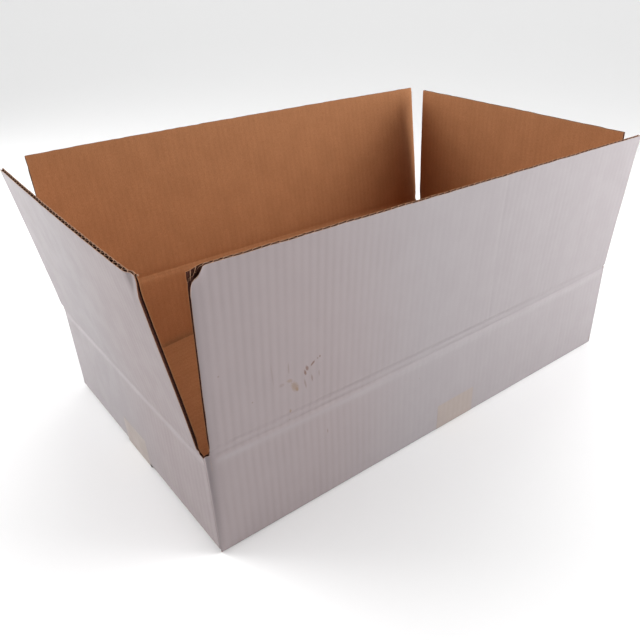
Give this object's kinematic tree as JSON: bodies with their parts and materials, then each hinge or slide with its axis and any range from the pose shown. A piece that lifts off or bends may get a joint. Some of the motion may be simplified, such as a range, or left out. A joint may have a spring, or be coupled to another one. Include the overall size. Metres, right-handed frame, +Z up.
{
  "type": "regular slotted carton",
  "caption": "Shallow corrugated shipping carton, white outside and brown inside, bottom taped closed, top flaps hinged and standing open.",
  "frame": {"origin": "middle of the underside, on the surface the carton stands on", "axes": "+X along the length, +Y from the front wall to the back wall, +Z up"},
  "size_m": [0.5027, 0.3178, 0.2395],
  "materials": {
    "white_board": "matte white-faced corrugated board, brown kraft inside",
    "tan_tape": "clear tan packing tape"
  },
  "bodies": {
    "carton": {"carton_body": "white_board", "seam_tape": "tan_tape", "cross_tape": "tan_tape"},
    "front_flap": {"front_top_flap": "white_board"},
    "back_flap": {"back_top_flap": "white_board"},
    "left_flap": {"left_top_flap": "white_board"},
    "right_flap": {"right_top_flap": "white_board"}
  },
  "joints": [
    {"name": "front_flap_hinge", "type": "hinge", "parent": "carton", "child": "front_flap", "pos_m": [0, -0.145, 0.095], "axis": [-1, 0, 0], "range_deg": [-115.5, 94.5]},
    {"name": "back_flap_hinge", "type": "hinge", "parent": "carton", "child": "back_flap", "pos_m": [0, 0.145, 0.095], "axis": [1, 0, 0], "range_deg": [-113.5, 96.5]},
    {"name": "left_flap_hinge", "type": "hinge", "parent": "carton", "child": "left_flap", "pos_m": [-0.24, 0, 0.0917], "axis": [0, 1, 0], "range_deg": [-111.5, 98.5]},
    {"name": "right_flap_hinge", "type": "hinge", "parent": "carton", "child": "right_flap", "pos_m": [0.24, 0, 0.0917], "axis": [0, -1, 0], "range_deg": [-119.5, 90.5]}
  ]
}
